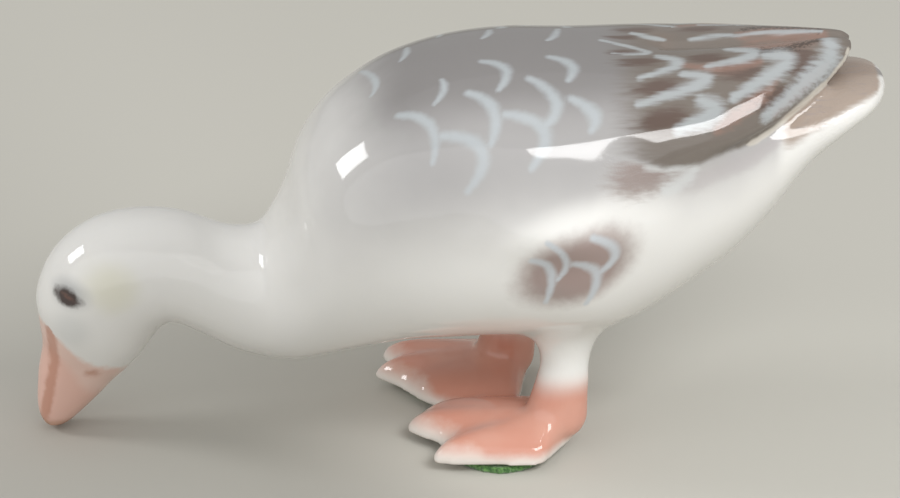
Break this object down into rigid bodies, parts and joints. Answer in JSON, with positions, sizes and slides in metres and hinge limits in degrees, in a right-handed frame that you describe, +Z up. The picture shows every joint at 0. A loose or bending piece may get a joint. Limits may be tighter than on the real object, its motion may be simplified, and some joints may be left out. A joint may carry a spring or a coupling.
{
  "type": "goose figurine",
  "caption": "Glazed porcelain goose standing on webbed feet with its head lowered to graze, on green felt discs.",
  "frame": {"origin": "middle of the whole figurine in plan, at table level under the felt discs", "axes": "+Z up, -X the way the goose faces, -Y its left side"},
  "size_m": [0.1194, 0.0476, 0.0591],
  "materials": {
    "glazed_porcelain": "gloss",
    "green_wool_felt": "matte"
  },
  "bodies": {
    "root": {"goose": "glazed_porcelain", "left_foot_felt": "green_wool_felt", "right_foot_felt": "green_wool_felt"}
  },
  "joints": []
}
